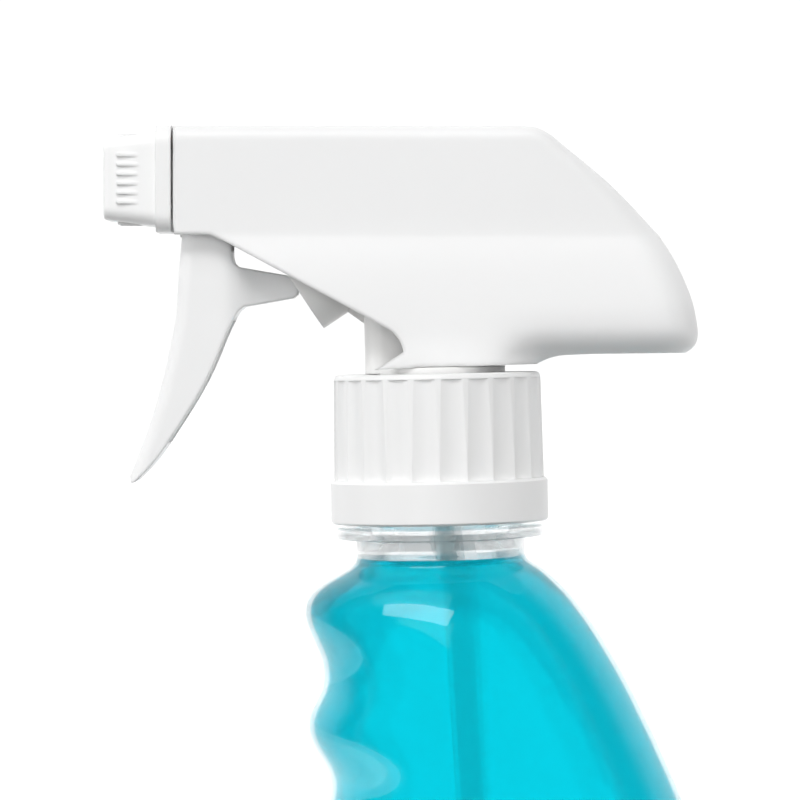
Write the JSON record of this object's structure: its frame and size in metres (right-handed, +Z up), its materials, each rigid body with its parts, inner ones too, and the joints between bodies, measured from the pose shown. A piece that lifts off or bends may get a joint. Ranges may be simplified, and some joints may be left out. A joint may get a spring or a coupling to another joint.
{
  "type": "trigger spray bottle",
  "caption": "Clear contoured bottle of cyan cleaning liquid with a white ribbed screw closure and a trigger pump head that sprays when the trigger is pulled.",
  "frame": {"origin": "on the neck's axis, in the plane the bottle stands on", "axes": "+Z up along the neck; the nozzle points towards -X, the bottle's flared back is towards +X; +Y completes the right-handed frame"},
  "size_m": [0.1003, 0.064, 0.2843],
  "materials": {
    "clear_pet": "clear, glossy",
    "cyan_liquid": "clear cyan liquid",
    "natural_pe": "natural, slightly translucent",
    "white_closure": "satin white",
    "white_body": "satin white",
    "white_nozzle": "satin white",
    "white_trigger": "satin white",
    "white_shroud": "satin white",
    "foam_gasket": "matte white",
    "clear_elastomer": "matte translucent",
    "soft_seal": "satin",
    "black_rubber": "matte black",
    "spring_steel": "drawn stainless wire",
    "glass_ball": "polished"
  },
  "bodies": {
    "bottle": {"bottle": "clear_pet", "cleaning_liquid": "cyan_liquid"},
    "seal": {"neck_gasket": "foam_gasket"},
    "cap": {"screw_cap": "white_closure"},
    "sprayer": {"pump_body": "white_body", "shroud": "white_shroud", "intake_stem": "natural_pe", "dip_tube": "natural_pe", "barrel_plug": "natural_pe", "outlet_check_valve": "clear_elastomer", "swirl_insert": "natural_pe", "nozzle_o_ring": "black_rubber", "return_spring": "spring_steel"},
    "trigger": {"trigger": "white_trigger"},
    "piston": {"piston": "natural_pe", "piston_vent_seal": "soft_seal", "piston_pressure_seal": "soft_seal"},
    "nozzle": {"nozzle_cap": "white_nozzle", "orifice_cup": "natural_pe"},
    "inlet_ball": {"inlet_valve_ball": "glass_ball"}
  },
  "joints": [
    {"name": "unscrew_rise", "type": "slide", "parent": "bottle", "child": "seal", "axis": [0, 0, 1], "range_m": [0, 0.0074], "deforming": ["cleaning_liquid"]},
    {"name": "cap_turn", "type": "hinge", "parent": "seal", "child": "cap", "pos_m": [0, 0, 0.232], "axis": [0, 0, 1], "range_deg": [0, 630]},
    {"name": "head_swivel", "type": "hinge", "parent": "seal", "child": "sprayer", "pos_m": [0, 0, 0.24], "axis": [0, 0, 1], "continuous": true},
    {"name": "trigger_pull", "type": "hinge", "parent": "sprayer", "child": "trigger", "pos_m": [-0.0327, 0, 0.27476], "axis": [0, -1, 0], "range_deg": [0, 20]},
    {"name": "piston_slide", "type": "slide", "parent": "sprayer", "child": "piston", "axis": [0.8453, 0, 0.5344], "range_m": [0, 0.0067], "stiffness_N_per_m": 950, "springref_m": -0.0057, "deforming": ["return_spring"]},
    {"name": "nozzle_turn", "type": "hinge", "parent": "sprayer", "child": "nozzle", "pos_m": [-0.04684, 0, 0.27589], "axis": [0.9998, 0, -0.0209], "continuous": true},
    {"name": "inlet_ball_lift", "type": "slide", "parent": "sprayer", "child": "inlet_ball", "axis": [0, 0, 1], "range_m": [0, 0.0012]}
  ],
  "couplings": [
    {"joint": "cap_turn", "follows": "unscrew_rise", "rad_per_m": 1485.4},
    {"joint": "trigger_pull", "follows": "piston_slide", "rad_per_m": 52.083}
  ]
}
